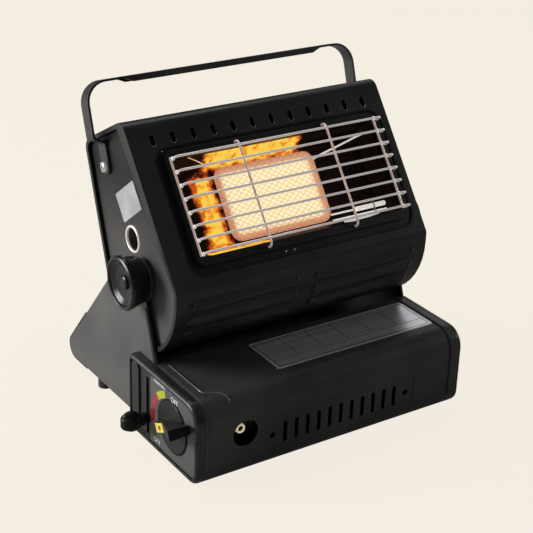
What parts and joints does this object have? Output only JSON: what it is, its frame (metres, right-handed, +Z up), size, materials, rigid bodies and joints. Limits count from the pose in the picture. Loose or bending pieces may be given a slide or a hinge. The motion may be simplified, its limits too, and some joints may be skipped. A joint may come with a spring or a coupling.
{
  "type": "portable gas heater",
  "caption": "Tabletop gas radiant heater: a tilting head with burner plaque, reflector and wire guard on a cartridge base with a hinged lid, dial, lock lever and swing handle.",
  "frame": {"origin": "bottom centre of the bounding box, on the surface the heater stands on", "axes": "+X from the control end to the plain end, +Y from the front to the back, +Z up"},
  "size_m": [0.3254, 0.2598, 0.305],
  "materials": {
    "black_sheet": "satin black powder coat",
    "cap_black": "satin black powder coat",
    "dial_grey": "dark grey satin print",
    "foot_rubber": "matte",
    "wire_steel": "polished",
    "pin_steel": "plain",
    "valve_zinc": "cast",
    "nozzle_brass": "turned",
    "knob_black": "moulded",
    "reflector_steel": "polished, heat tinted",
    "burner_steel": "heat tinted",
    "ceramic": null
  },
  "bodies": {
    "base": {"base_shell": "black_sheet", "side_plate_left": "black_sheet", "side_plate_right": "black_sheet", "rear_panel": "black_sheet", "floor_pan": "black_sheet", "end_cap_left": "cap_black", "end_cap_right": "cap_black", "dial_panel": "dial_grey", "feet": "foot_rubber", "rear_feet": "foot_rubber", "hinge_pin": "pin_steel", "valve_body": "valve_zinc", "regulator": "valve_zinc", "hose_nozzle": "nozzle_brass", "cartridge_guide": "pin_steel"},
    "lid": {"lid": "black_sheet"},
    "valve_control": {"valve_knob": "knob_black", "valve_spindle": "pin_steel"},
    "cartridge_lever": {"lock_lever": "knob_black", "lever_slider": "pin_steel"},
    "head": {"head_shell": "black_sheet", "head_side_left": "black_sheet", "head_side_right": "black_sheet", "head_rear": "black_sheet", "window_frame": "black_sheet", "guard_bars": "wire_steel", "guard_stays": "wire_steel", "reflector": "reflector_steel", "burner_box": "burner_steel", "burner_rim": "burner_steel", "ceramic_plaque": "ceramic", "mixer_tube": "burner_steel", "inlet_ring": "wire_steel", "sensor_bracket": "pin_steel", "ignition_electrode": "ceramic", "flame_sensor": "pin_steel", "tilt_stud_left": "pin_steel", "tilt_stud_right": "pin_steel", "handle_screws": "wire_steel"},
    "handle": {"handle_strap": "black_sheet"},
    "knob_left": {"tilt_knob_left": "knob_black"},
    "knob_right": {"tilt_knob_right": "knob_black"}
  },
  "joints": [
    {"name": "head_tilt", "type": "hinge", "parent": "base", "child": "head", "pos_m": [0.00635, -0.01589, 0.1515], "axis": [-1, 0, 0], "range_deg": [-30, 56]},
    {"name": "lid_open", "type": "hinge", "parent": "base", "child": "lid", "pos_m": [0.00635, -0.04349, 0.0774], "axis": [-1, 0, 0], "range_deg": [0, 46]},
    {"name": "valve_turn", "type": "hinge", "parent": "base", "child": "valve_control", "pos_m": [-0.13865, -0.08489, 0.041], "axis": [1, 0, 0], "range_deg": [0, 124]},
    {"name": "lever_slide", "type": "slide", "parent": "base", "child": "cartridge_lever", "axis": [0, 0, 1], "range_m": [-0.012, 0.035]},
    {"name": "handle_swing", "type": "hinge", "parent": "head", "child": "handle", "pos_m": [0.00635, 0.05301, 0.2309], "axis": [-1, 0, 0], "range_deg": [-60, 85]},
    {"name": "knob_left_turn", "type": "hinge", "parent": "head", "child": "knob_left", "pos_m": [-0.13865, -0.01589, 0.1515], "axis": [-1, 0, 0], "continuous": true},
    {"name": "knob_right_turn", "type": "hinge", "parent": "head", "child": "knob_right", "pos_m": [0.15135, -0.01589, 0.1515], "axis": [1, 0, 0], "continuous": true}
  ]
}
